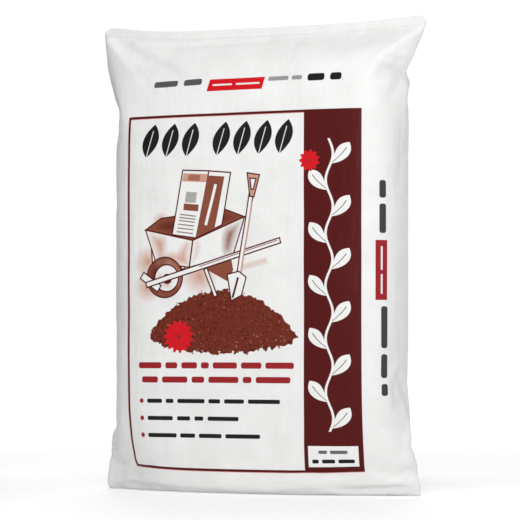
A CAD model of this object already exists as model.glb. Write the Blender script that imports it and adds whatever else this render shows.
# %% [markdown]
# # A bag of soil
# A retail bag of soil is about the simplest pack there is: a length of white polyethylene tube,
# welded shut at both ends, with moist soil inside. All of its shape comes from one fact: film
# bends easily and hardly stretches. This lesson builds the bag as it is made: the flat tube
# first, then the filling, then the welds, and last the print.
#
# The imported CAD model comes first. It gives the bag's place and its real size in metres, and
# every size below is worked out from it.

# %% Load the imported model
import math

import bpy
import numpy as np
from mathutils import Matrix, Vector, noise


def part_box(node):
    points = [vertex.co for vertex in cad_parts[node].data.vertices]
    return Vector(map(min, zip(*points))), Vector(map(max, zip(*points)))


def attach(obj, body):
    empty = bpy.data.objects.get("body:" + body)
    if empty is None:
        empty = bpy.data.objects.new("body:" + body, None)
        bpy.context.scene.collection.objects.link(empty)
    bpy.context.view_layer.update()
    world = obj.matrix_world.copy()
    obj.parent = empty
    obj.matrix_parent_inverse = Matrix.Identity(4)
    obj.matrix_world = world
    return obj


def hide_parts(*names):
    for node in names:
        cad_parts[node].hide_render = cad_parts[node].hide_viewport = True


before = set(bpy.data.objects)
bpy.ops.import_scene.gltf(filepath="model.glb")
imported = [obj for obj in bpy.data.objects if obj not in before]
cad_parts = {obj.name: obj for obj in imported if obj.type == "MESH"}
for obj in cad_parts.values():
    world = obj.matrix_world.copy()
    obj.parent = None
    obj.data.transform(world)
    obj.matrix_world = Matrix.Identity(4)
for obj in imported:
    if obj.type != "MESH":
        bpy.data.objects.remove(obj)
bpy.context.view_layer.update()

lowest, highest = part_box("soil_bag")
print("the bag's box in metres:", [round(side, 3) for side in highest - lowest])

# %% [markdown]
# ## Camera
# The bag is seen from its right-hand side by about 25 degrees, from a few metres away, with the
# camera a little below the bag's middle. A long lens keeps its upright edges upright.

# %% Camera
CAMERA_TURN = math.radians(25)
CAMERA_DISTANCE = 3.62
CAMERA_HEIGHT = 0.20
CAMERA_TILT = math.radians(1.76)
CAMERA_LENS = 186.7
SENSOR_WIDTH = 36

camera_data = bpy.data.cameras.new("camera")
camera_data.sensor_width = SENSOR_WIDTH
camera_data.lens = CAMERA_LENS
camera = bpy.data.objects.new("camera", camera_data)
camera.location = (
    CAMERA_DISTANCE * math.sin(CAMERA_TURN),
    -CAMERA_DISTANCE * math.cos(CAMERA_TURN),
    CAMERA_HEIGHT,
)
camera.rotation_euler = (math.pi / 2 + CAMERA_TILT, 0, CAMERA_TURN)
bpy.context.scene.collection.objects.link(camera)
bpy.context.scene.camera = camera

# %% [markdown]
# ## The flat tube
# The tube lies flat before it is filled, so its width is the widest that the bag can ever be,
# and that is at the welds. The film runs on past each weld as a short fin.
#
# The mesh follows the film: columns run up the tube and rows run across it, all at equal steps
# of film. That makes the flat tube an exact rest shape for the cloth, and it lets the print be
# placed in metres of film, as on the real printing cylinder.

# %% Sizes of the film
FLAT_WIDTH = highest.x - lowest.x
BELLY = highest.y
FIN = 0.012
EAR_RISE = 0.016
WELD_HEIGHT = highest.z - EAR_RISE - FIN

COLUMNS = 64
ROWS = 92
AROUND = 2 * COLUMNS

# %% [markdown]
# ## The filled form
# Soil makes the bag stand on a flat foot, with a round heel, a nearly straight belly and a taper
# up to the top weld. Seen from the side that is one curve, given here as the half thickness at a
# length of film from the bottom weld. The height then follows from the film: where the curve
# leans, the film climbs less.

# %% The side view of the filled bag
HEEL_RADIUS = 0.020
FOOT = BELLY - HEEL_RADIUS
MIDDLE_TAPER = 0.12
SETTLING = 0.015
SETTLED_FROM = 0.30
SETTLED_OVER = 0.25
LENGTH_ROUNDS = 20
FINE_STEPS = 2000


def smooth(share):
    """A share from 0 to 1 with an easy start and an easy end."""
    share = np.clip(share, 0, 1)
    return share * share * (3 - 2 * share)


def mix(first, second, share):
    """The value that lies this share of the way from the first to the second."""
    return first + (second - first) * share


def half_thickness(film, total, taper):
    """Half the bag's thickness at each length of film up from the bottom weld."""
    heel = np.clip((film - FOOT) / HEEL_RADIUS, 0, math.pi / 2)
    foot_and_belly = np.minimum(film, FOOT) + HEEL_RADIUS * np.sin(heel)
    settling = 1 - SETTLING * smooth((film - SETTLED_FROM) / SETTLED_OVER)
    closing = np.sin(math.pi / 2 * np.clip((total - film) / taper, 0, 1))
    return foot_and_belly * settling * closing


def heights(film, total, taper):
    """The height above the floor at each length of film."""
    slope = np.gradient(half_thickness(film, total, taper), film)
    climb = np.sqrt(np.clip(1 - slope**2, 0, 1)) * (film > FOOT)
    return np.concatenate([[0], np.cumsum((climb[1:] + climb[:-1]) / 2 * np.diff(film))])


FILM_LENGTH = WELD_HEIGHT
for _ in range(LENGTH_ROUNDS):
    fine = np.linspace(0, FILM_LENGTH, FINE_STEPS)
    FILM_LENGTH += WELD_HEIGHT - heights(fine, FILM_LENGTH, MIDDLE_TAPER)[-1]
film = np.linspace(0, FILM_LENGTH, ROWS + 1)
middle_height = np.interp(film, fine, heights(fine, FILM_LENGTH, MIDDLE_TAPER))
print("film from weld to weld in metres:", round(FILM_LENGTH, 4))

# %% [markdown]
# Seen from above, each level of the bag is a closed curve with the same length of film round it:
# pointed and wide at the welds, round and narrower where the soil holds the faces apart. A
# search finds the width at which each curve uses up exactly the film there is.

# %% The level sections
WELD_SHAPE = (2.2, 1.0)
FULL_SHAPE = (7.0, 2.6)
BASE_EAR = 0.150
SAG_POWER = 4
SECTION_POINTS = 90
WIDTH_ROUNDS = 40


def quarter_section(depth_middle, depth_side, fullness, rise):
    """Points from the middle of a face out to the fold, at equal steps of film, for each row."""
    share = np.sin(np.linspace(0, math.pi / 2, SECTION_POINTS))
    depth = mix(depth_middle[:, None], depth_side[:, None], smooth(share))
    square = mix(WELD_SHAPE[0], FULL_SHAPE[0], fullness)[:, None]
    roundness = mix(WELD_SHAPE[1], FULL_SHAPE[1], fullness)[:, None]
    y = depth * np.clip(1 - share**square, 0, 1) ** (1 / roundness)
    z = rise[:, None] * share**SAG_POWER
    narrow = np.full(len(y), FLAT_WIDTH / 4)
    wide = np.full(len(y), FLAT_WIDTH / 2)
    for _ in range(WIDTH_ROUNDS):
        half_width = (narrow + wide) / 2
        step = np.sqrt(np.diff(half_width[:, None] * share) ** 2 + np.diff(y) ** 2 + np.diff(z) ** 2)
        too_long = step.sum(axis=1) > FLAT_WIDTH / 2
        wide = np.where(too_long, half_width, wide)
        narrow = np.where(too_long, narrow, half_width)
    along = np.concatenate([np.zeros((len(y), 1)), np.cumsum(step, axis=1)], axis=1)
    wanted = np.linspace(0, 1, COLUMNS // 2 + 1)
    points = np.stack([half_width[:, None] * share, y, z], axis=-1)
    return np.array([
        [np.interp(wanted * length[-1], length, axis) for axis in row.T]
        for length, row in zip(along, points)
    ]).transpose(0, 2, 1)


# %% [markdown]
# ## The goal form
# The middle of a face has to travel out over the soil and back, but the folds at the sides run
# straight from corner to corner. So the folds have film to spare, and that spare film makes the
# creases once the cloth solver gets it. The goal form only says where the film should be: the
# rows sag in the middle and rise to the corners. The left and right halves differ a little, as
# the soil has filled the right-hand shoulder better than the left.

# %% The goal form, as a grid of points
SIDES = {
    "left": {"taper": 0.17, "flat_top": 0.012, "top_ear": 0.12, "ear_rise": 0.017, "gather": 0.035},
    "right": {"taper": 0.085, "flat_top": 0.020, "top_ear": 0.030, "ear_rise": 0.008, "gather": 0.055},
}
EAR_CLIMB = 0.75
BASE_EAR_FILM = 0.20
TOP_EAR_FILM = 0.15
GATHER_REACH = 0.08

depth_middle = half_thickness(film, FILM_LENGTH, MIDDLE_TAPER)
halves = {}
for side, shape in SIDES.items():
    above_ear = mix(EAR_CLIMB * film, middle_height, smooth(film / BASE_EAR_FILM))
    top_ear = shape["ear_rise"] * smooth(1 - (FILM_LENGTH - film) / TOP_EAR_FILM)
    fold_height = above_ear + top_ear
    filled_share = smooth(middle_height / BASE_EAR)
    filled_share = filled_share * smooth((FILM_LENGTH - film - shape["flat_top"]) / shape["top_ear"])
    depth_side = half_thickness(film, FILM_LENGTH, shape["taper"])
    half = quarter_section(depth_middle, depth_side, filled_share, fold_height - middle_height)
    half[:, :, 0] *= 1 - shape["gather"] * smooth(1 - film / GATHER_REACH)[:, None]
    halves[side] = half
halves["left"] = halves["left"][:, :0:-1] * (-1, 1, 1)
goal_face = np.concatenate([halves["left"], halves["right"]], axis=1)
goal_face[:, :, 2] += middle_height[:, None]
print("narrowest level in metres:", round(float(np.ptp(goal_face[:, :, 0], axis=1).min()), 4))

# %% [markdown]
# Soil isn't quite even, so the faces are given low lumps a few centimetres across. They fade out
# at the folds, where no soil reaches. The empty left-hand shoulder also leans back a little.

# %% Lumps of soil
LUMP_SIZE = 0.055
LUMP_HEIGHT = 0.0019
LUMPS_FADE = 0.03
LEAN = 0.006
LEAN_OUT_FROM = 0.17
LEAN_OUT_OVER = 0.07
LEAN_UP_FROM = 0.54
LEAN_UP_OVER = 0.09


def lump(x, y, z):
    """How far the soil pushes the film out here, more or less than none."""
    return LUMP_HEIGHT * noise.noise(Vector((x, y, z)) / LUMP_SIZE)


def goal_point(row, column):
    """Where one point of the film should be, on the front or the back."""
    back = column > COLUMNS
    place = AROUND - column if back else column
    side = 1 if back else -1
    x, y, z = goal_face[row, place]
    on_soil = smooth(y / LUMPS_FADE)
    y += on_soil * lump(x, side, z)
    far_left = smooth((-x - LEAN_OUT_FROM) / LEAN_OUT_OVER)
    high_up = smooth((z - LEAN_UP_FROM) / LEAN_UP_OVER)
    return Vector((x, side * y + LEAN * (far_left * high_up), z))


# %% [markdown]
# ## Filling the bag
# Blender's Cloth modifier does the filling. The mesh starts as the flat tube, so the cloth takes
# its rest lengths from the flat film. A shape key then carries the goal form in over the first
# frames, and the pin group ties every point to it with a soft spring, as soil presses on film
# without gluing it. The film can't shrink to the goal form, so it folds and creases instead.
# The springs are firm on the floor and along the welds and weak near the ears, where no soil
# reaches.

# %% The flat mesh and its goal
def on_weld(row):
    return row in (0, ROWS)


def grid_index():
    """The vertex number of each grid point. Front and back share their points at the welds."""
    index = np.zeros((ROWS + 1, AROUND), int)
    count = 0
    for row in range(ROWS + 1):
        for column in range(AROUND):
            if on_weld(row) and column > COLUMNS:
                index[row, column] = index[row, AROUND - column]
            else:
                index[row, column] = count
                count += 1
    return index, count


index, count = grid_index()
breadth = np.linspace(-1, 1, COLUMNS + 1)
flat = np.zeros((count, 3))
goal = np.zeros((count, 3))
HALF_GAP = 0.0006
TAKE_UP = 0.046


def flat_height(row, place):
    """How far up the flat tube a point lies. Near the bottom the rows bow up at the folds."""
    bow = TAKE_UP * abs(breadth[place]) ** SAG_POWER * smooth(1 - film[row] / BASE_EAR_FILM)
    return film[row] + bow


for row in range(ROWS + 1):
    for column in range(AROUND):
        if on_weld(row) and column > COLUMNS:
            continue
        place = AROUND - column if column > COLUMNS else column
        inside = not on_weld(row) and column % COLUMNS != 0
        side = 1 if column > COLUMNS else -1
        flat[index[row, column]] = (
            breadth[place] * FLAT_WIDTH / 2,
            side * HALF_GAP * inside,
            flat_height(row, place),
        )
        goal[index[row, column]] = goal_point(row, column)


def quads(index):
    """The faces between neighbouring rows of a grid that closes on itself."""
    faces = []
    for row in range(len(index) - 1):
        for column in range(AROUND):
            beside = (column + 1) % AROUND
            ring = (index[row, column], index[row, beside],
                    index[row + 1, beside], index[row + 1, column])
            faces.append([int(v) for v in dict.fromkeys(ring)])
    return faces


tube_mesh = bpy.data.meshes.new("flat_tube")
tube_mesh.from_pydata(flat.tolist(), [], quads(index))
tube = bpy.data.objects.new("flat_tube", tube_mesh)
bpy.context.scene.collection.objects.link(tube)
print("points in the flat tube:", count)

# %% [markdown]
# A vertex group says how firmly each point is tied to the goal form, from 0 to 1. The whole
# bottom weld is held like the rest of the foot, as the weight of the bag lies on it.

# %% The springs that hold the film to the soil
FLOOR_HOLD = 0.9
WELD_HOLD = 0.95
SOIL_HOLD = 0.35
FOLD_HOLD = 0.15
EAR_HOLD = 0.25
FOLD_FROM = 0.72
EAR_REACH = 0.09
TOUCHING_FLOOR = 0.002

tube.shape_key_add(name="flat")
filled = tube.shape_key_add(name="filled")
filled.data.foreach_set("co", goal.astype(np.float32).ravel())

hold = np.full(count, SOIL_HOLD)
beside_fold = smooth((np.abs(flat[:, 0]) / (FLAT_WIDTH / 2) - FOLD_FROM) / (1 - FOLD_FROM))
hold = mix(hold, FOLD_HOLD, beside_fold)
from_end = np.minimum(flat[:, 2], FILM_LENGTH - flat[:, 2])
hold = mix(hold, EAR_HOLD, beside_fold * smooth(1 - from_end / EAR_REACH))
on_floor = (goal[:, 2] < TOUCHING_FLOOR) & (beside_fold < 0.5)
hold[on_floor] = FLOOR_HOLD
hold[index[0]] = FLOOR_HOLD
hold[index[ROWS]] = WELD_HOLD
springs = tube.vertex_groups.new(name="hold")
for vertex, strength in enumerate(hold):
    springs.add([vertex], float(strength), "REPLACE")

# %% [markdown]
# The film hardly stretches, so the cloth's tension is high, and it bends easily, so its bending
# is low. Gravity is left out, because the goal form already has the soil's weight in it. The
# simulation runs once, from the first frame to the last, and its result is read back as points.

# %% Run the cloth
FILL_FRAMES = 25
SETTLE_FRAMES = 15


def fill_the_bag():
    """The positions of the tube's points once the film has settled."""
    for frame_number, value in ((1, 0), (FILL_FRAMES, 1)):
        filled.value = value
        filled.keyframe_insert("value", frame=frame_number)
    cloth = tube.modifiers.new("film", "CLOTH")
    settings = cloth.settings
    settings.quality = 8
    settings.mass = 0.01
    settings.air_damping = 2
    settings.tension_stiffness = 60
    settings.compression_stiffness = 60
    settings.shear_stiffness = 30
    settings.bending_model = "ANGULAR"
    settings.bending_stiffness = 0.02
    settings.tension_damping = 2
    settings.compression_damping = 2
    settings.shear_damping = 2
    settings.vertex_group_mass = "hold"
    settings.pin_stiffness = 2.5
    settings.effector_weights.gravity = 0
    cloth.collision_settings.use_collision = False
    cloth.collision_settings.use_self_collision = False
    last = FILL_FRAMES + SETTLE_FRAMES
    cloth.point_cache.frame_end = last
    for frame_number in range(1, last + 1):
        bpy.context.scene.frame_set(frame_number)
    settled = tube.evaluated_get(bpy.context.evaluated_depsgraph_get()).data
    points = np.empty(3 * count, np.float32)
    settled.vertices.foreach_get("co", points)
    return points.reshape(-1, 3).astype(float)


points = fill_the_bag()
bpy.data.objects.remove(tube)
bpy.context.scene.frame_set(1)
print("highest point of the weld in metres:", round(float(points[:, 2].max()), 4))

# %% [markdown]
# ## Welds and fins
# The cloth has no thickness, but the bag that comes out is one closed skin. At each weld the
# two films lie together and run on as a fin. The top fin carries on in the direction in which
# the two faces meet. The bottom fin is folded flat under the foot.

# %% Keep the faces apart and off the floor
FILM = 0.00025
FLOOR_CLEARANCE = 2 * FILM
BETWEEN_FOLDS = np.arange(1, COLUMNS)

grid = points[index]
front = grid[:, BETWEEN_FOLDS]
back = grid[:, AROUND - BETWEEN_FOLDS]
centre = (front + back) / 2
half_gap = np.maximum((back[:, :, 1] - front[:, :, 1]) / 2, FILM)
grid[:, BETWEEN_FOLDS, 1] = centre[:, :, 1] - half_gap
grid[:, AROUND - BETWEEN_FOLDS, 1] = centre[:, :, 1] + half_gap
grid[:, :, 2] = np.maximum(grid[:, :, 2], FLOOR_CLEARANCE)

# %% [markdown]
# A fin is a few more rows of the same rings, flat and two films thick. Its direction is worked
# out from the last rows below the weld and evened out along the weld, so that the fin doesn't
# copy every crease. The corners are rounded off, more at the left than at the right.

# %% Add the fins
FIN_STEPS = 3
ROWS_BELOW_WELD = 3
EVENING_ROUNDS = 30
UPRIGHT = 2
UP = np.array([0, 0, 1.0])
BACKWARD = np.array([0, 1.0, 0])


def unit(vectors):
    return vectors / np.linalg.norm(vectors, axis=-1, keepdims=True)


def middle_line(row):
    """The points halfway between front and back, from the left fold to the right one."""
    mirror = (AROUND - np.arange(COLUMNS + 1)) % AROUND
    return (grid[row, : COLUMNS + 1] + grid[row, mirror]) / 2


def evened(line, rounds):
    """The line with each point drawn towards its neighbours, over and over."""
    for _ in range(rounds):
        ends = np.concatenate([line[:1], line, line[-1:]])
        line = (ends[:-2] + 2 * line + ends[2:]) / 4
    return line


def two_films(line, normal):
    """A ring of points: the line once for the front film and once for the back one."""
    half = np.array(normal) * FILM
    half = np.broadcast_to(half, line.shape).copy()
    half[[0, -1]] = 0
    return np.concatenate([line - half, (line + half)[-2:0:-1]])


LEFT_CORNER = 0.016
RIGHT_CORNER = 0.003
LEAST_FIN = 0.2


def corner(from_fold, radius):
    """How much of the fin is left near a rounded corner, from the least to 1."""
    inward = np.clip(from_fold / radius, 0, 1)
    return mix(LEAST_FIN, 1, np.sqrt(1 - (1 - inward) ** 2))


from_left = np.linspace(0, FLAT_WIDTH, COLUMNS + 1)
fin_height = FIN * corner(from_left, LEFT_CORNER) * corner(FLAT_WIDTH - from_left, RIGHT_CORNER)
weld = middle_line(ROWS)
fin_way = evened(unit(weld - middle_line(ROWS - ROWS_BELOW_WELD)), EVENING_ROUNDS)
fin_way = unit(fin_way + UPRIGHT * UP)
across_fin = unit(np.cross(UP, unit(np.gradient(weld, axis=0))))
top_fin = [
    two_films(weld + fin_way * fin_height[:, None] * step / FIN_STEPS, across_fin)
    for step in range(FIN_STEPS + 1)
]
foot_line = middle_line(0)
foot_line[:, 2] = FILM
bottom_fin = [
    two_films(foot_line + BACKWARD * FIN * step / FIN_STEPS, -UP)
    for step in range(FIN_STEPS, 0, -1)
]
skin = np.concatenate([bottom_fin, grid[1:ROWS], top_fin])
print("rows of the skin:", len(skin))

# %% [markdown]
# The rings of points, from the edge of the bottom fin to the edge of the top one, make one closed
# skin. The two edges are closed by narrow faces between the front film and the back one. One
# level of subdivision rounds the creases.

# %% Build the skin
def skin_faces(rows):
    """The faces between the rings, and the narrow ones that close the two edges."""
    index = np.arange(rows * AROUND).reshape(rows, AROUND)
    faces = quads(index)
    for edge, order in ((0, 1), (rows - 1, -1)):
        for column in range(COLUMNS):
            beside = column + 1
            ring = [index[edge, column], index[edge, beside],
                    index[edge, (AROUND - beside) % AROUND], index[edge, (AROUND - column) % AROUND]]
            faces.append([int(v) for v in dict.fromkeys(ring)][::-order])
    return faces


bag_mesh = bpy.data.meshes.new("soil_bag_film")
bag_mesh.from_pydata(skin.reshape(-1, 3).tolist(), [], skin_faces(len(skin)))
bag_mesh.validate()
bag_mesh.shade_smooth()
bag = bpy.data.objects.new("soil_bag_film", bag_mesh)
bpy.context.scene.collection.objects.link(bag)
rounding = bag.modifiers.new("rounding", "SUBSURF")
rounding.levels = rounding.render_levels = 1

# %% [markdown]
# ## Two maps of the film
# The map called film is in metres: zero across is the middle of the front, and zero up is the
# bottom weld. The print is placed by it, as a printer places it on the flat tube. The map called
# OFBake fits the same skin into a square from 0 to 1, for the day the finish is baked to an
# image. The front takes two thirds of that square, because all the print is there.

# %% The film map and the bake map
FRONT_SHARE = 0.667
BACK_START = 0.68
BACK_END = 0.995
FULL_FILM = FILM_LENGTH + TAKE_UP + 2 * FIN + 4 * FILM


def skin_height(skin_row, column):
    """How far up the film a point of the skin lies, past the welds on the fins."""
    row = min(max(skin_row - FIN_STEPS + 1, 0), ROWS)
    past_bottom = min(skin_row - FIN_STEPS, 0) * FIN / FIN_STEPS
    past_top = max(skin_row - FIN_STEPS + 1 - ROWS, 0) * FIN / FIN_STEPS
    return flat_height(row, min(column, AROUND - column)) + past_bottom + past_top


film_map = bag_mesh.uv_layers.new(name="film")
bake_map = bag_mesh.uv_layers.new(name="OFBake")


def corner_spots(face):
    """The row, column and side of each corner of a face, and how far it lies past a fin's edge."""
    spots = [divmod(vertex, AROUND) for vertex in face.vertices]
    on_edge = len({row for row, column in spots}) == 1
    back = not on_edge and any(column > COLUMNS for row, column in spots)
    for row, column in spots:
        past = 0
        if on_edge and column > COLUMNS:
            past = 2 * FILM if row else -2 * FILM
            column = AROUND - column
        elif back and column == 0:
            column = AROUND
        yield row, column, back, past


for face in bag_mesh.polygons:
    for loop, (row, column, back, past) in zip(face.loop_indices, corner_spots(face)):
        height = skin_height(row, column) + past
        share = column / COLUMNS
        film_map.data[loop].uv = ((share - 0.5) * FLAT_WIDTH, height)
        packed = mix(BACK_START, BACK_END, share - 1) if back else share * FRONT_SHARE
        bake_map.data[loop].uv = (packed, (height + FIN + 2 * FILM) / FULL_FILM)
print("corners mapped:", len(film_map.data))

# %% [markdown]
# ## Shader maths in Python
# The print is made of shapes, and each shape is a sum worked out at every point of the film. In
# the node editor that would be hundreds of Math nodes wired by hand. So a small class wraps a
# node's output and turns Python's own signs into Math nodes. Every other node comes from one
# method, which takes the node's type, its settings and what goes into its sockets.

# %% A socket that can be used in sums
class Field:
    """A value or a colour that can differ from point to point: one output of a node."""

    def __init__(self, finish, socket):
        self.finish = finish
        self.socket = socket

    def maths(self, operation, *others, clamp=False):
        inputs = dict(enumerate((self, *others)))
        return self.finish.node("ShaderNodeMath", {"operation": operation, "use_clamp": clamp}, inputs)

    def __add__(self, other):
        return self.maths("ADD", other)

    def __sub__(self, other):
        return self.maths("SUBTRACT", other)

    def __mul__(self, other):
        return self.maths("MULTIPLY", other)

    def __pow__(self, other):
        return self.maths("POWER", other)

    def __rsub__(self, other):
        return (self * -1) + other

    def __abs__(self):
        return self.maths("ABSOLUTE")

    __radd__ = __add__
    __rmul__ = __mul__


# %% A material and its nodes
class Finish:
    """A material, with one method that adds any node and connects its inputs."""

    def __init__(self, name):
        self.material = bpy.data.materials.new(name)
        self.material.use_nodes = True
        self.tree = self.material.node_tree
        self.shader = self.tree.nodes["Principled BSDF"]

    def node(self, kind, settings, inputs, output=0):
        node = self.tree.nodes.new(kind)
        for name, value in settings.items():
            if name == "stops":
                set_stops(node.color_ramp, value)
            else:
                setattr(node, name, value)
        for name, value in inputs.items():
            self.fill(node.inputs[name], value)
        return Field(self, node.outputs[output])

    def fill(self, socket, value):
        if isinstance(value, Field):
            self.tree.links.new(value.socket, socket)
        else:
            socket.default_value = value

    def surface(self, **values):
        for name, value in values.items():
            self.fill(self.shader.inputs[name.replace("_", " ")], value)


def set_stops(ramp, stops):
    for element, (place, colour) in zip((ramp.elements[0], ramp.elements[-1]), (stops[0], stops[-1])):
        element.position = place
        element.color = colour
    for place, colour in stops[1:-1]:
        ramp.elements.new(place).color = colour


film_finish = Finish("film")

# %% [markdown]
# ## Shapes in ink
# Each shape is a distance: how far a point of the film lies outside the shape's outline, and less
# than zero inside it. Distances are easy to combine. The greater of two is where both shapes
# overlap, the lesser is where either is, and the absolute value is the outline alone. Ink goes
# wherever the distance is below zero, with a soft edge half a millimetre wide.

# %% Where on the film, and how far outside a shape
INK_EDGE = 0.0005
MM = 0.001

film_place = film_finish.node("ShaderNodeUVMap", {"uv_map": "film"}, {})
across = film_finish.node("ShaderNodeSeparateXYZ", {}, {0: film_place}, "X")
up = film_finish.node("ShaderNodeSeparateXYZ", {}, {0: film_place}, "Y")
raised_place = film_finish.node(
    "ShaderNodeVectorMath", {"operation": "ADD"}, {0: film_place, 1: (0, 0, 1)}
)


def overlap(*distances):
    """Where all the shapes are."""
    total = distances[0]
    for distance in distances[1:]:
        total = total.maths("MAXIMUM", distance)
    return total


def either(*distances):
    """Where at least one of the shapes is."""
    total = distances[0]
    for distance in distances[1:]:
        total = total.maths("MINIMUM", distance)
    return total


def within(value, low, high):
    """A band of a value, such as across or up, from low to high."""
    return abs(value - (low + high) / 2) - (high - low) / 2


def box(left, right, bottom, top):
    """An upright box, in metres of film."""
    return overlap(within(across, left, right), within(up, bottom, top))


def rounded(first, second, radius):
    """Where both shapes are, with the corners between them rounded."""
    past_first = (first + radius).maths("MAXIMUM", 0)
    past_second = (second + radius).maths("MAXIMUM", 0)
    return (past_first**2 + past_second**2).maths("SQRT") - radius


def outline(distance, width):
    """A line of this width along a shape's edge."""
    return abs(distance) - width / 2


def polygon(*corners):
    """A convex shape whose corners, in millimetres of film, run anticlockwise."""
    sides = []
    for (x1, y1), (x2, y2) in zip(corners, corners[1:] + corners[:1]):
        length = math.hypot(x2 - x1, y2 - y1)
        out = ((y2 - y1) / length, (x1 - x2) / length)
        offset = -(out[0] * x1 + out[1] * y1) * MM
        sides.append(film_finish.node(
            "ShaderNodeVectorMath", {"operation": "DOT_PRODUCT"},
            {0: raised_place, 1: (*out, offset)}, "Value",
        ))
    return overlap(*sides)


def bar(start, end, width):
    """A straight bar with square ends, in millimetres of film."""
    length = math.dist(start, end)
    x, y = ((b - a) / length * width / 2 for a, b in zip(start, end))
    return polygon(
        (start[0] + y, start[1] - x), (end[0] + y, end[1] - x),
        (end[0] - y, end[1] + x), (start[0] - y, start[1] + x),
    )


def disc(centre, radius):
    """A round shape, in millimetres of film."""
    middle = (centre[0] * MM, centre[1] * MM, 1)
    distance = film_finish.node(
        "ShaderNodeVectorMath", {"operation": "DISTANCE"}, {0: raised_place, 1: middle}, "Value"
    )
    return distance - radius * MM


def inked(distance):
    """1 inside the outline and 0 outside it, with a soft edge."""
    return distance.maths("MULTIPLY_ADD", -1 / INK_EDGE, 0.5, clamp=True)


# %% [markdown]
# ## The white film
# Polyethylene film coloured white with a mineral isn't quite opaque: the dark soil behind it
# shows as faint grey clouds. It is a little glossy, and a fraction of a millimetre of soil
# relief shows in that gloss. So the base colour carries soft clouds, and the bump has two sizes
# of lump, both placed by the object's own coordinates so that they run on across the folds. A
# third noise, seven times as tall as it is wide, is the film pulled straight by the weight of the
# soil, and a shallow groove marks the top weld.

# %% Base colour, relief and gloss of the film
FILM_WHITE = (0.70, 0.70, 0.694, 1)
FILM_CLOUD = (0.65, 0.65, 0.643, 1)
CLOUD_SIZE = 0.035
CLOUDS_FROM = 0.35
CLOUD_CONTRAST = 2.2
LUMP_RELIEF = 0.0009
GRAIN_RELIEF = 0.00014
PULL_RELIEF = 0.0009
WELD_LINE = 0.0016
WELD_DEPTH = 0.0004

on_bag = film_finish.node("ShaderNodeTexCoord", {}, {}, "Object")


def clouds(size, detail, stretch=(1, 1, 1)):
    """Noise from 0 to 1 whose clouds are about this size in metres."""
    scale = tuple(1 / (size * axis) for axis in stretch)
    place = film_finish.node("ShaderNodeVectorMath", {"operation": "MULTIPLY"}, {0: on_bag, 1: scale})
    return film_finish.node(
        "ShaderNodeTexNoise", {}, {"Vector": place, "Scale": 1.0, "Detail": detail}, "Fac"
    )


def blend(first, second, share):
    """Colour mixing, from the first colour to the second."""
    return film_finish.node(
        "ShaderNodeMix", {"data_type": "RGBA"}, {0: share, 6: first, 7: second}, 2
    )


soil_clouds = clouds(CLOUD_SIZE, 3)
relief = clouds(0.016, 2) * LUMP_RELIEF + clouds(0.0045, 2) * GRAIN_RELIEF
pulled = clouds(0.010, 2, stretch=(1, 1, 7)) * PULL_RELIEF
weld_groove = inked(outline(up - FILM_LENGTH, WELD_LINE)) * -WELD_DEPTH
film_height = relief + pulled + weld_groove
cloud_share = (soil_clouds - CLOUDS_FROM).maths("MULTIPLY", CLOUD_CONTRAST, clamp=True)
film_colour = blend(FILM_WHITE, FILM_CLOUD, cloud_share)

# %% [markdown]
# ## The print
# The front is printed in a few inks: maroon, black, red, dark red, brown and a thin tan. There is
# no lettering on this bag. Where a maker would set words, it has leaves, a climbing stem and plain
# bars, in the same places and about as dark. Bare film is an ink here as well, as it is quicker to
# print white over maroon than to cut holes in every shape.

# %% The inks
MAROON = (0.070, 0.0020, 0.0020, 1)
BLACK = (0.008, 0.007, 0.007, 1)
RED = (0.52, 0.004, 0.010, 1)
DARK_RED = (0.26, 0.012, 0.016, 1)
TAN = (0.50, 0.27, 0.20, 1)
BROWN = (0.20, 0.055, 0.030, 1)
BARE = (0.70, 0.70, 0.69, 1)

printed = []


def ink(distance, colour, strength=1.0):
    """Print a shape over everything printed before."""
    global film_colour
    mask = inked(distance)
    printed.append(mask)
    film_colour = blend(film_colour, colour, mask if strength == 1 else mask * strength)


# %% [markdown]
# A maroon frame runs round the front, with a broad band at its right and a white panel at the
# band's foot. The red line just beside the maroon one is a printer's fault: two printing
# cylinders that don't quite line up.

# %% The frame and the band
FRAME = {"left": -0.170, "right": 0.170, "bottom": 0.085, "top": 0.557}
FRAME_LINE = 0.0034
OFF_REGISTER = 0.0009
BAND_LEFT = 0.092
PANEL = {"left": 0.0975, "right": 0.1650, "bottom": 0.0910, "top": 0.1190}

frame_box = box(**FRAME)
shifted = {side: value - OFF_REGISTER for side, value in FRAME.items()}
ink(outline(box(**shifted), FRAME_LINE), RED, 0.55)
ink(outline(frame_box, FRAME_LINE), MAROON)
band = overlap(frame_box, within(across, BAND_LEFT, FRAME["right"]))
ink(band, MAROON)
ink(box(**PANEL), BARE)

# %% [markdown]
# The stem is one sine wave. Its leaves need no list, because the height divided by the spacing
# gives each leaf a number: the whole part says which leaf, the rest says how far up it, and an odd
# number turns the leaf to the left. Two arcs make a leaf's outline, as a parabola on each side.

# %% The climbing stem
STEM_MIDDLE = 0.128
STEM_SWAY = 0.005
LEAF_STEP = 0.0345
LEAF_LENGTH = 0.038
LEAF_HALF_WIDTH = 0.0088
LEAF_ANGLE = math.radians(46)
LEAF_START = 0.12
LEAF_NUMBERS = (4, 14)
VEIN_HALF_WIDTH = 0.0005
VEIN_SHARE = 0.75
STEM_HALF_WIDTH = 0.0017
STEM_RUN = (0.138, 0.520)


def leaf(along, sideways, length, half_width):
    """A pointed leaf that starts where along is 0."""
    share = along * (2 / length) - 1
    return abs(sideways) + share * share * half_width - half_width


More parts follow.
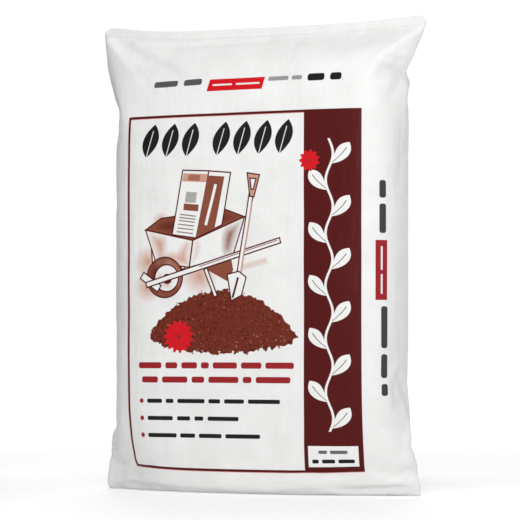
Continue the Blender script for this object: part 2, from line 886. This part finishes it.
leaf_place = up * (1 / LEAF_STEP)
leaf_number = leaf_place.maths("FLOOR")
up_leaf = (leaf_place - leaf_number - LEAF_START) * LEAF_STEP
leaf_side = 1 - 2 * leaf_number.maths("MODULO", 2)
sway = (up * (math.pi / LEAF_STEP)).maths("SINE") * STEM_SWAY
from_stem = across - STEM_MIDDLE - sway
out = from_stem * leaf_side
along_leaf = out * math.cos(LEAF_ANGLE) + up_leaf * math.sin(LEAF_ANGLE)
beside_leaf = up_leaf * math.cos(LEAF_ANGLE) - out * math.sin(LEAF_ANGLE)
leaves = leaf(along_leaf, beside_leaf, LEAF_LENGTH, LEAF_HALF_WIDTH)
vein = overlap(abs(beside_leaf) - VEIN_HALF_WIDTH, along_leaf - LEAF_LENGTH * VEIN_SHARE)
first_leaf, last_leaf = LEAF_NUMBERS
leaves = overlap(leaves, vein * -1, within(leaf_number, first_leaf - 0.5, last_leaf + 0.5))
stem = overlap(abs(from_stem) - STEM_HALF_WIDTH, within(up, *STEM_RUN))
ink(either(stem, leaves), BARE)
print("leaves on the stem:", last_leaf - first_leaf + 1)

# %% [markdown]
# The heading is one black leaf, repeated across. It slants like italic type, because the place
# across is shifted a little more the higher it is. A gap of half a leaf parts the two groups.

# %% The heading: a row of slanting leaves
HEADING_LEFT = -0.150
HEADING_PITCH = 0.0305
HEADING_GROUPS = (3, 4)
HEADING_GAP = 0.5
HEADING_BOTTOM = 0.502
HEADING_HEIGHT = 0.045
HEADING_SLANT = 0.30
HEADING_LEAF_HALF_WIDTH = 0.0120
HEADING_VEIN_HALF_WIDTH = 0.0006
HEADING_VEIN_SHARE = 0.8

heading_up = up - HEADING_BOTTOM
slanted = across - HEADING_LEFT - (heading_up - HEADING_HEIGHT / 2) * HEADING_SLANT
heading_place = slanted * (1 / HEADING_PITCH)
first_group, second_group = HEADING_GROUPS
second_starts = first_group + HEADING_GAP
in_row = either(
    within(heading_place, 0, first_group),
    within(heading_place, second_starts, second_starts + second_group),
)
heading_place = heading_place - heading_place.maths("GREATER_THAN", second_starts) * HEADING_GAP
beside_middle = (heading_place - heading_place.maths("FLOOR") - 0.5) * HEADING_PITCH
heading_leaf = leaf(heading_up, beside_middle, HEADING_HEIGHT, HEADING_LEAF_HALF_WIDTH)
heading_vein = overlap(
    abs(beside_middle) - HEADING_VEIN_HALF_WIDTH,
    heading_up - HEADING_HEIGHT * HEADING_VEIN_SHARE,
)
ink(overlap(heading_leaf, heading_vein * -1, in_row), BLACK)
print("leaves in the heading:", first_group + second_group)

# %% [markdown]
# ## The picture
# The picture is a barrow with a sack in it, a spade and a heap of soil. It is printed from the
# back to the front, each shape over the ones before, with a maroon line round it. Tan and brown
# fade in from the shapes' edges, which makes them look round. All its places are in millimetres
# of film, across from the middle of the front and up from the bottom weld.

# %% Drawing, tinting and shading
PICTURE_LINE = 0.0019
SHADE_DEPTH = 0.014


def drawn(distance, fill):
    """A filled shape with a maroon line round it."""
    ink(distance, fill)
    ink(outline(distance, PICTURE_LINE), MAROON)


def tint(centre, radius, strength):
    """A soft patch of tan."""
    global film_colour
    soft = disc(centre, radius).maths("MULTIPLY", -1 / (radius * MM), clamp=True)
    film_colour = blend(film_colour, TAN, soft * strength)


def shade(distance, strength, colour=TAN):
    """Colour that fades in from a shape's edge towards its middle."""
    global film_colour
    soft = distance.maths("MULTIPLY", -1 / SHADE_DEPTH, clamp=True)
    film_colour = blend(film_colour, colour, soft * strength)


# %% Soft shadows behind the barrow
for centre, radius in (((-138, 362), 24), ((-138, 328), 22), ((-60, 342), 28), ((-118, 416), 14)):
    tint(centre, radius, 1.0)
shadow = bar((2, 353), (40, 362), 9)
ink(shadow, TAN, 0.25)
shade(shadow, 1.0)

# %% [markdown]
# The heap's top and foot are two curves over the same rounded form, one steep and one shallow.
# Noise added to the distance breaks the outline into crumbs, and a colour ramp over a finer noise
# makes the dark and light grains.

# %% The heap of soil
HEAP_MIDDLE = -0.027
HEAP_HALF_WIDTH = 0.108
HEAP_LEVEL = 0.262
HEAP_RISE = 0.061
HEAP_DIP = 0.022
TOP_FULLNESS = 0.8
FOOT_FULLNESS = 0.5
CRUMB_SIZE = 0.007
CRUMB_DEPTH = 0.018
GRAIN_SIZE = 0.0035

heap_share = (across - HEAP_MIDDLE) * (1 / HEAP_HALF_WIDTH)
heap_form = (1 - heap_share * heap_share).maths("MAXIMUM", 0)
crumbs = (clouds(CRUMB_SIZE, 3) - 0.5) * CRUMB_DEPTH
above_heap = up - HEAP_LEVEL - heap_form**TOP_FULLNESS * HEAP_RISE
below_heap = HEAP_LEVEL - up - heap_form**FOOT_FULLNESS * HEAP_DIP
heap_side = (abs(heap_share) - 1) * HEAP_HALF_WIDTH
heap = overlap(above_heap, below_heap, heap_side) + crumbs
soil_colour = film_finish.node(
    "ShaderNodeValToRGB",
    {"stops": [(0.30, (0.035, 0.004, 0.003, 1)), (0.48, (0.150, 0.020, 0.008, 1)),
               (0.62, (0.100, 0.012, 0.006, 1)), (0.74, (0.34, 0.16, 0.11, 1))]},
    {0: clouds(GRAIN_SIZE, 4)},
)
ink(heap, soil_colour)

# %% The inside of the barrow
inside_barrow = polygon((-70, 390), (6, 420), (-24, 431), (-118, 420), (-142, 405))
drawn(inside_barrow, BROWN)
shade(overlap(inside_barrow, disc((-104, 402), 26)), 0.9, MAROON)
shade(overlap(inside_barrow, disc((-14, 424), 24)), 0.9, MAROON)

# %% The sack in it, with a label and a dark band like the bag's own
SACK_LEAN = 0.20
SACK_LINES = (402, 407, 412, 417, 421, 425)
SACK_LINE_LEFT = -94
SACK_LINE_LENGTH = 24

drawn(polygon((-101, 398), (-65, 393), (-46, 482), (-85, 484)), BARE)
drawn(polygon((-65, 393), (-27, 410), (-14, 479), (-46, 482)), BARE)
ink(polygon((-65, 394), (-38, 405), (-23, 474), (-48, 476)), BROWN)
ink(bar((-51, 410), (-36, 464), 4), BARE)
ink(polygon((-86, 469), (-50, 467), (-48, 478), (-84, 480)), TAN)
ink(polygon((-78, 470), (-60, 469), (-59, 477), (-76, 478)), BROWN, 0.7)
ink(polygon((-82, 441), (-66, 440), (-64, 454), (-80, 455)), BLACK, 0.55)
ink(bar((-84, 435), (-62, 433), 9), BROWN)
for line_up in SACK_LINES:
    line_left = SACK_LINE_LEFT + (line_up - SACK_LINES[0]) * SACK_LEAN
    line_right = line_left + SACK_LINE_LENGTH
    ink(bar((line_left, line_up), (line_right, line_up - 3), 1.6), MAROON, 0.8)

# %% The legs and the shade under the tray
LEGS = (((-131, 386), (-128, 355)), ((-88, 383), (-84, 352)), ((-51, 352), (-36, 315)))
LEG_WIDTH = 5

ink(polygon((-52, 352), (-17, 334), (-10, 350), (-14, 370)), BROWN)
for top, foot in LEGS:
    drawn(bar(top, foot, LEG_WIDTH), BARE)

# %% The tray
left_side = polygon((-142, 405), (-126, 362), (-75, 354), (-70, 390))
right_side = polygon((-70, 390), (-75, 354), (-10, 370), (6, 420))
drawn(left_side, BARE)
drawn(right_side, BARE)
shade(overlap(left_side, disc((-146, 384), 40)), 1.0)
shade(overlap(left_side, disc((-66, 366), 30)), 1.0)
shade(overlap(left_side, disc((-100, 348), 30)), 1.0)
shade(overlap(right_side, disc((14, 386), 44)), 1.0, BROWN)
shade(overlap(right_side, disc((-82, 380), 26)), 0.8)
ink(bar((-70, 390), (-75, 354), 2), MAROON)

# %% The wheel, the handle and the spade
tyre = disc((-112, 341), 27)
drawn(tyre, BROWN)
shade(overlap(tyre, disc((-98, 356), 30)), 0.9)
shade(overlap(tyre, disc((-132, 350), 28)), 1.0, MAROON)
hub = disc((-109, 340), 18)
drawn(hub, BARE)
shade(overlap(hub, disc((-118, 330), 20)), 0.8)
drawn(disc((-108, 339), 6), MAROON)
drawn(bar((-147, 344), (-120, 326), 10), BARE)
drawn(bar((-140, 331), (58, 388), 7), BARE)
ink(bar((-60, 355), (54, 388), 1.2), BROWN)
drawn(bar((-2, 343), (16, 450), 6), BARE)
ink(bar((1, 345), (17, 440), 2), TAN)
drawn(polygon((14, 447), (20, 446), (28, 475), (10, 478)), TAN)
drawn(polygon((16, 456), (19, 456), (23, 470), (14, 471)), BARE)
drawn(polygon((-19, 344), (-13, 309), (2, 316), (9, 340), (-2, 348)), BARE)
ink(bar((-11, 313), (-3, 340), 3), MAROON)

# %% [markdown]
# A flower is a disc whose radius goes up and down with the angle round its middle, once for each
# petal.

# %% Two scalloped flowers
PETAL_DEPTH = 0.13
FLOWER_HEART = 0.16


def flower(centre, radius, petals):
    """A red disc with a wavy edge and a dark middle."""
    x = across - centre[0] * MM
    y = up - centre[1] * MM
    angle = y.maths("ARCTAN2", x)
    wave = (angle * petals).maths("COSINE") * (radius * MM * PETAL_DEPTH)
    ink(disc(centre, radius) + wave, RED)
    ink(disc(centre, radius * FLOWER_HEART), DARK_RED)


flower((100, 492), 13, 11)
flower((-91, 262), 20, 15)

# %% [markdown]
# Small print is set as bars. Each bar is as long as a word of so many letters, so a row of them
# keeps the rhythm of a line of text. The same function prints up the side of the bag, with the
# two directions exchanged.

# %% Bars in place of small print
BAR_CORNER = 0.35


def sentence(along, sideways, run, middle, height, letters, colour, strength=1.0):
    """A row of bars, each as long as a word of so many letters."""
    letter = (run[1] - run[0]) / (sum(letters) + len(letters) - 1)
    start = run[0]
    words = None
    for word_length in letters:
        word = within(along, start, start + word_length * letter)
        words = word if words is None else either(words, word)
        start += (word_length + 1) * letter
    line = within(sideways, middle - height / 2, middle + height / 2)
    ink(rounded(words, line, height * BAR_CORNER), colour, strength)


# %% The lines below the picture, and the panel
POINTS = (
    (0.1760, 0.058, (4, 2, 7, 3, 5, 8)),
    (0.1529, -0.002, (6, 3, 2, 7)),
    (0.1300, 0.029, (8, 4, 6, 9)),
)

sentence(across, up, (-0.152, 0.078), 0.2235, 0.0082, (6, 3, 4, 2, 6, 5, 7), DARK_RED)
sentence(across, up, (-0.147, 0.073), 0.2045, 0.0082, (4, 6, 3, 7, 2, 8), DARK_RED)
for middle, end, letters in POINTS:
    ink(disc((-148, middle / MM), 3.2), DARK_RED)
    sentence(across, up, (-0.139, end), middle, 0.0056, letters, BLACK)
sentence(across, up, (0.1115, 0.1505), 0.1110, 0.0045, (3, 6), BLACK, 0.85)
sentence(across, up, (0.1025, 0.1595), 0.0985, 0.0052, (2, 4, 5), BLACK)

# %% The side line and the line near the top
sentence(up, across, (0.396, 0.465), 0.2000, 0.0095, (5, 3), BLACK, 0.95)
ink(box(0.190, 0.2065, 0.309, 0.387), DARK_RED)
sentence(up, across, (0.317, 0.379), 0.1985, 0.0026, (5, 6), BARE, 0.9)
sentence(up, across, (0.184, 0.301), 0.2025, 0.0095, (2, 4, 7), BLACK, 0.95)
sentence(across, up, (-0.137, -0.061), 0.6035, 0.0090, (4, 3), BLACK, 0.9)
ink(polygon((-52, 589), (30, 589), (33, 606), (-49, 606)), RED)
sentence(across, up, (-0.044, 0.026), 0.5975, 0.0025, (5, 6), BARE, 0.9)
sentence(across, up, (0.038, 0.087), 0.6025, 0.0060, (6, 3), BLACK, 0.65)
sentence(across, up, (0.095, 0.143), 0.6020, 0.0100, (3, 2), BLACK)

# %% [markdown]
# Ink lies on the film as a thin coat and is a little smoother than the film, so the roughness is
# lower wherever there is ink, and a little higher where the clouds are.

# %% Put the finish together
FILM_ROUGHNESS = 0.42
CLOUD_ROUGHNESS = 0.10
INK_SMOOTHNESS = 0.05
FILM_SPECULAR = 0.14

all_ink = printed[0]
for mask in printed[1:]:
    all_ink = all_ink.maths("MAXIMUM", mask)
normal = film_finish.node("ShaderNodeBump", {}, {"Strength": 1.0, "Distance": 1.0, "Height": film_height})
film_finish.surface(
    Base_Color=film_colour,
    Roughness=FILM_ROUGHNESS + soil_clouds * CLOUD_ROUGHNESS - all_ink * INK_SMOOTHNESS,
    Specular_IOR_Level=FILM_SPECULAR,
    Normal=normal,
)
bag_mesh.materials.append(film_finish.material)
print("nodes in the film's finish:", len(film_finish.tree.nodes))

# %% [markdown]
# ## The bag's place in the part
# These lines tell the frame what the piece is: it is fixed to the root, it stands in for the CAD
# solid, it uses the film's slot, and it is a padded piece that is full, so it gives only a little.

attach(bag, "root")
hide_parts("soil_bag")

# %% [markdown]
# ## Studio
# The bag stands in the middle of a round white studio, so every side of it is seen against
# white. The floor and the wall glow a little, like the lit paper sweep behind a product, and
# the ceiling is dim. That leaves the lamps to model the form: the key stands at the right of the
# front, so the left flank falls darker.

# %% Floor and wall
STUDIO_RADIUS = 12
WALL_HEIGHT = 4
WALL_SIDES = 96
NEAR_GLOW = 0.22
FAR_GLOW = 0.60
WALL_GLOW = 0.76
GLOW_FROM = 0.8
GLOW_TO = 5.0
PAPER_ROUGHNESS = 0.7
FLOOR_WHITE = 0.80
WALL_WHITE = 0.30


def paper(name, points, faces, white, near_glow, far_glow):
    """A piece of the white studio, lit a little from within, and more so far from the lamps."""
    mesh = bpy.data.meshes.new(name)
    mesh.from_pydata(points, [], faces)
    piece = bpy.data.objects.new(name, mesh)
    bpy.context.scene.collection.objects.link(piece)
    finish = Finish(name)
    place = finish.node("ShaderNodeTexCoord", {}, {}, "Object")
    away = finish.node("ShaderNodeVectorMath", {"operation": "LENGTH"}, {0: place}, "Value")
    share = finish.node(
        "ShaderNodeMapRange", {"interpolation_type": "SMOOTHSTEP"},
        {"Value": away, "From Min": GLOW_FROM, "From Max": GLOW_TO},
    )
    glow = finish.node(
        "ShaderNodeMix", {"data_type": "RGBA"},
        {0: share, 6: (near_glow,) * 3 + (1,), 7: (far_glow,) * 3 + (1,)}, 2,
    )
    finish.surface(
        Base_Color=(white, white, white, 1),
        Roughness=PAPER_ROUGHNESS,
        Emission_Color=glow,
        Emission_Strength=1.0,
    )
    mesh.materials.append(finish.material)


turns = [2 * math.pi * side / WALL_SIDES for side in range(WALL_SIDES)]
ring = [(STUDIO_RADIUS * math.cos(turn), STUDIO_RADIUS * math.sin(turn)) for turn in turns]
floor_points = [(x, y, 0) for x, y in ring]
paper("floor", floor_points, [tuple(range(WALL_SIDES))], FLOOR_WHITE, NEAR_GLOW, FAR_GLOW)
wall_points = [(x, y, z) for z in (0, WALL_HEIGHT) for x, y in ring]
wall_faces = [
    (side, (side + 1) % WALL_SIDES, (side + 1) % WALL_SIDES + WALL_SIDES, side + WALL_SIDES)
    for side in range(WALL_SIDES)
]
paper("wall", wall_points, wall_faces, WALL_WHITE, WALL_GLOW, WALL_GLOW)

# %% [markdown]
# Three softboxes do the rest. The key is at the right of the front, one is above the front and
# picks out the shoulders, and a weaker one lights the back. The Standard view transform is used
# because it keeps white paper white.

# %% Lights
CEILING_LIGHT = 0.43
LAMPS_AIM_AT = Vector((0, 0, 0.3))

world = bpy.data.worlds.new("studio")
bpy.context.scene.world = world
world.use_nodes = True
world.node_tree.nodes["Background"].inputs["Color"].default_value = (1, 1, 1, 1)
world.node_tree.nodes["Background"].inputs["Strength"].default_value = CEILING_LIGHT


def softbox(name, place, size, power):
    """A square area lamp that faces the middle of the bag."""
    light = bpy.data.lights.new(name, "AREA")
    light.size = size
    light.energy = power
    lamp = bpy.data.objects.new(name, light)
    lamp.location = place
    lamp.rotation_mode = "QUATERNION"
    aim = LAMPS_AIM_AT - Vector(place)
    lamp.rotation_quaternion = aim.to_track_quat("-Z", "Y")
    bpy.context.scene.collection.objects.link(lamp)


softbox("key", (1.4, -3.2, 1.3), 0.9, 40)
softbox("top", (0.4, -1.6, 3.2), 1.2, 42)
softbox("back", (-1.4, 3.0, 2.0), 1.5, 25)
bpy.context.scene.view_settings.view_transform = "Standard"

# %% [markdown]
# A white bag in a white room has no edge to see. Photographers stand a black card just out of the
# picture, which takes light away from one flank. This one stands at the left, and it is hidden
# from the camera so that it never comes into another view.

# %% A black card at the left
CARD_AT = -0.60
CARD_DEPTH = (-0.65, 0.10)
CARD_HEIGHT = (0.05, 0.95)

card_mesh = bpy.data.meshes.new("card")
(near, far), (low, high) = CARD_DEPTH, CARD_HEIGHT
card_mesh.from_pydata(
    [(CARD_AT, near, low), (CARD_AT, far, low), (CARD_AT, far, high), (CARD_AT, near, high)],
    [], [(0, 1, 2, 3)],
)
card = bpy.data.objects.new("card", card_mesh)
bpy.context.scene.collection.objects.link(card)
card.visible_camera = False
card_finish = Finish("card")
card_finish.surface(Base_Color=(0.02, 0.02, 0.02, 1), Roughness=0.9)
card_mesh.materials.append(card_finish.material)
